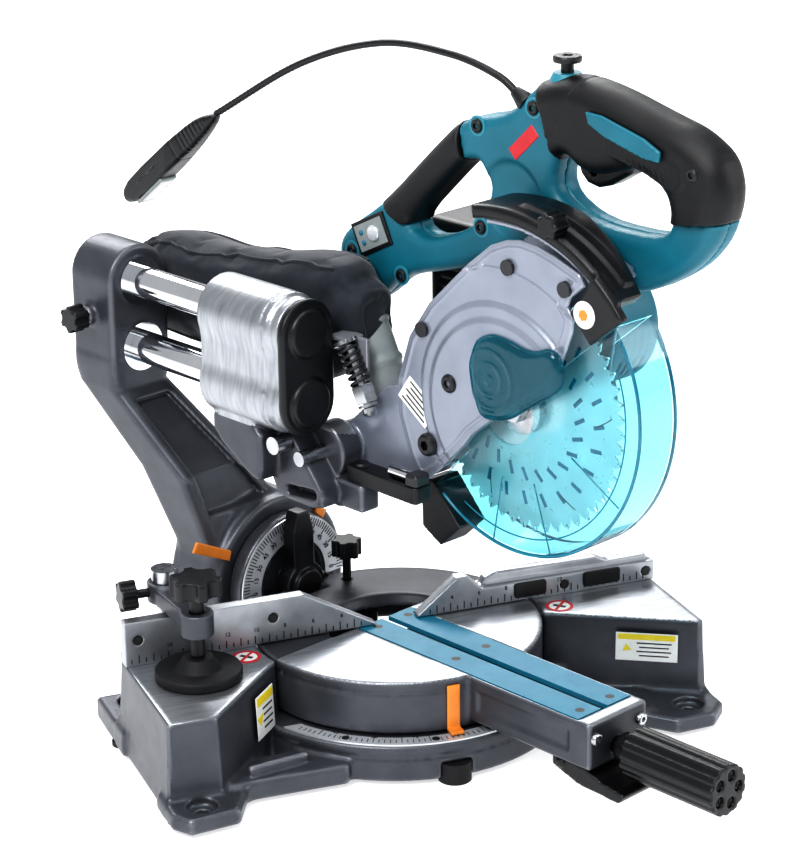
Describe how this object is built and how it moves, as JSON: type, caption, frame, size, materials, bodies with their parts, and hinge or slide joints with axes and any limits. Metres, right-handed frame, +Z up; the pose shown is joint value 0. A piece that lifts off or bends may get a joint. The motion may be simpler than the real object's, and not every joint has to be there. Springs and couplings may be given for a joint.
{
  "type": "sliding miter saw",
  "caption": "Compact sliding compound miter saw: base with turntable and fences, bevelling arm, twin slide rails, pivoting blade case with guard, D handle, vise, lamp and dust bag.",
  "frame": {"origin": "on the underside of the feet, on the turntable's axis", "axes": "+X to the right along the fence, -Y to the operator, +Z up; at rest the turntable stands at a right mitre of 22.5 degrees, head up, slide forward"},
  "size_m": [0.393, 0.5322, 0.4675],
  "materials": {
    "cast_grey": "painted charcoal grey casting with a machined top",
    "case_grey": "light lavender-grey enamel",
    "machined": "machined, bright",
    "satin_steel": "satin zinc-plated steel",
    "chrome_rail": "hard-chromed and ground",
    "blade_steel": "ground steel with carbide teeth",
    "copper": "copper winding on laminated steel",
    "teal_plastic": "teal moulded nylon",
    "black_plastic": "black moulded nylon",
    "grip_rubber": "black soft overmould",
    "foot_rubber": "black rubber",
    "grey_plastic": "grey moulded plastic",
    "board_blue": "blue kerf board plastic",
    "pointer_orange": "orange pointer plastic",
    "scale_white": "white scale plate with black graduations",
    "guard_clear": "clear teal polycarbonate",
    "bag_fabric": "dark slate woven polyester"
  },
  "bodies": {
    "base": {"base_casting": "cast_grey", "mitre_scale": "scale_white", "rubber_feet": "foot_rubber", "left_fence": "machined", "right_fence": "machined", "fence_inserts": "black_plastic", "base_screws": "satin_steel", "mitre_pivot_bolt": "satin_steel", "vise_post": "satin_steel"},
    "vise_arm": {"vise_arm": "cast_grey"},
    "vise_thumb_screw": {"vise_thumb_screw": "black_plastic"},
    "vise_screw": {"vise_screw": "black_plastic", "vise_pad": "foot_rubber"},
    "turntable": {"turntable_casting": "cast_grey", "kerf_boards": "board_blue", "table_screws": "satin_steel", "mitre_pointer": "pointer_orange", "bevel_scale": "scale_white", "bevel_pivot_shaft": "satin_steel"},
    "mitre_grip": {"mitre_grip": "black_plastic"},
    "detent_lever": {"detent_lever": "black_plastic"},
    "rear_knob": {"rear_knob": "black_plastic"},
    "bevel_lock_lever": {"bevel_lock_lever": "black_plastic"},
    "bevel_arm": {"bevel_arm": "cast_grey", "bevel_pointers": "pointer_orange", "rail_bushes": "chrome_rail"},
    "slide_lock_knob": {"slide_lock_knob": "black_plastic"},
    "carriage": {"slide_rails": "chrome_rail", "carriage": "machined", "end_cap": "black_plastic", "hinge_pin": "satin_steel"},
    "stopper_pin": {"stopper_pin": "satin_steel"},
    "depth_stop_lever": {"depth_stop_lever": "black_plastic"},
    "head": {"blade_case": "cast_grey", "case_side_plate": "case_grey", "head_screws": "satin_steel", "case_hood": "black_plastic", "centre_cover": "teal_plastic", "gear_housing": "cast_grey", "motor_housing": "teal_plastic", "motor_stator": "copper", "bearings": "satin_steel", "handle_shell_left": "teal_plastic", "handle_shell_right": "teal_plastic", "handle_grip": "grip_rubber", "carry_grip": "grip_rubber", "lamp_gooseneck": "black_plastic", "lamp_head": "black_plastic", "dust_nozzle": "grey_plastic", "dust_bag": "bag_fabric", "dust_chute": "black_plastic"},
    "battery": {"battery_pack": "black_plastic"},
    "trigger": {"trigger": "black_plastic"},
    "lock_off_lever": {"lock_off_lever": "teal_plastic"},
    "top_knob": {"top_knob": "black_plastic"},
    "spindle": {"saw_blade": "blade_steel", "arbor_shaft": "satin_steel", "blade_clamp": "satin_steel"},
    "rotor": {"motor_rotor": "satin_steel"},
    "guard": {"lower_guard": "guard_clear"}
  },
  "joints": [
    {"name": "mitre_turn", "type": "hinge", "parent": "base", "child": "turntable", "pos_m": [0, 0, 0.066], "axis": [0, 0, 1], "range_deg": [-68.5, 29.5]},
    {"name": "bevel_tilt", "type": "hinge", "parent": "turntable", "child": "bevel_arm", "pos_m": [-0.04516, 0.10902, 0.066], "axis": [-0.3827, 0.9239, 0], "range_deg": [-31, 0]},
    {"name": "head_slide", "type": "slide", "parent": "bevel_arm", "child": "carriage", "axis": [0.3827, -0.9239, 0], "range_m": [-0.068, 0]},
    {"name": "head_chop", "type": "hinge", "parent": "carriage", "child": "head", "pos_m": [-0.00918, 0.02217, 0.194], "axis": [0.9239, 0.3827, 0], "range_deg": [0, 43], "stiffness_Nm_per_rad": 14, "springref_deg": -57.3},
    {"name": "guard_lift", "type": "hinge", "parent": "head", "child": "guard", "pos_m": [0.04554, -0.10994, 0.251], "axis": [0.9239, 0.3827, 0], "range_deg": [-131.15, 0]},
    {"name": "blade_spin", "type": "hinge", "parent": "head", "child": "spindle", "pos_m": [0.04554, -0.10994, 0.251], "axis": [0.9239, 0.3827, 0], "continuous": true},
    {"name": "rotor_spin", "type": "hinge", "parent": "head", "child": "rotor", "pos_m": [0.10304, -0.06583, 0.28348], "axis": [0.9239, 0.3827, 0], "continuous": true},
    {"name": "trigger_pull", "type": "slide", "parent": "head", "child": "trigger", "axis": [0, 0, 1], "range_m": [0, 0.004], "stiffness_N_per_m": 500, "springref_m": -0.004},
    {"name": "lock_off_press", "type": "hinge", "parent": "head", "child": "lock_off_lever", "pos_m": [0.07324, -0.14285, 0.437], "axis": [0.9239, 0.3827, 0], "range_deg": [0, 6]},
    {"name": "top_knob_press", "type": "slide", "parent": "head", "child": "top_knob", "axis": [0, 0, -1], "range_m": [0, 0.003], "stiffness_N_per_m": 800, "springref_m": -0.002},
    {"name": "battery_release", "type": "slide", "parent": "head", "child": "battery", "axis": [0, 0, 1], "range_m": [0, 0.06]},
    {"name": "mitre_grip_turn", "type": "hinge", "parent": "turntable", "child": "mitre_grip", "pos_m": [0.09567, -0.23097, 0.044], "axis": [0.3827, -0.9239, 0], "range_deg": [-60, 60]},
    {"name": "detent_squeeze", "type": "hinge", "parent": "turntable", "child": "detent_lever", "pos_m": [0.06582, -0.15891, 0.0295], "axis": [0.9239, 0.3827, 0], "range_deg": [0, 4]},
    {"name": "rear_knob_turn", "type": "hinge", "parent": "turntable", "child": "rear_knob", "pos_m": [-0.00475, 0.08463, 0.09], "axis": [0, 0, 1], "range_deg": [-90, 90]},
    {"name": "bevel_lock_turn", "type": "hinge", "parent": "turntable", "child": "bevel_lock_lever", "pos_m": [-0.0375, 0.09054, 0.066], "axis": [0.3827, -0.9239, 0], "range_deg": [-25, 25]},
    {"name": "slide_lock_turn", "type": "hinge", "parent": "bevel_arm", "child": "slide_lock_knob", "pos_m": [-0.17275, 0.15575, 0.2575], "axis": [-0.9239, -0.3827, 0], "range_deg": [-90, 90]},
    {"name": "stopper_pull", "type": "slide", "parent": "carriage", "child": "stopper_pin", "axis": [-0.9239, -0.3827, 0], "range_m": [0, 0.008]},
    {"name": "depth_stop_swing", "type": "hinge", "parent": "carriage", "child": "depth_stop_lever", "pos_m": [-0.03096, -0.01932, 0.185], "axis": [0, 0, 1], "range_deg": [-60, 0]},
    {"name": "vise_swing", "type": "hinge", "parent": "base", "child": "vise_arm", "pos_m": [-0.155, 0.022, 0.107], "axis": [0, 0, 1], "range_deg": [-20, 5]},
    {"name": "vise_thumb_turn", "type": "hinge", "parent": "vise_arm", "child": "vise_thumb_screw", "pos_m": [-0.175, 0.022, 0.107], "axis": [1, 0, 0], "range_deg": [-90, 90]},
    {"name": "vise_screw_lift", "type": "slide", "parent": "vise_arm", "child": "vise_screw", "axis": [0, 0, 1], "range_m": [0, 0.015]}
  ],
  "couplings": [
    {"joint": "guard_lift", "follows": "head_chop", "ratio": -3.05},
    {"joint": "rotor_spin", "follows": "blade_spin", "ratio": -3.1667}
  ]
}
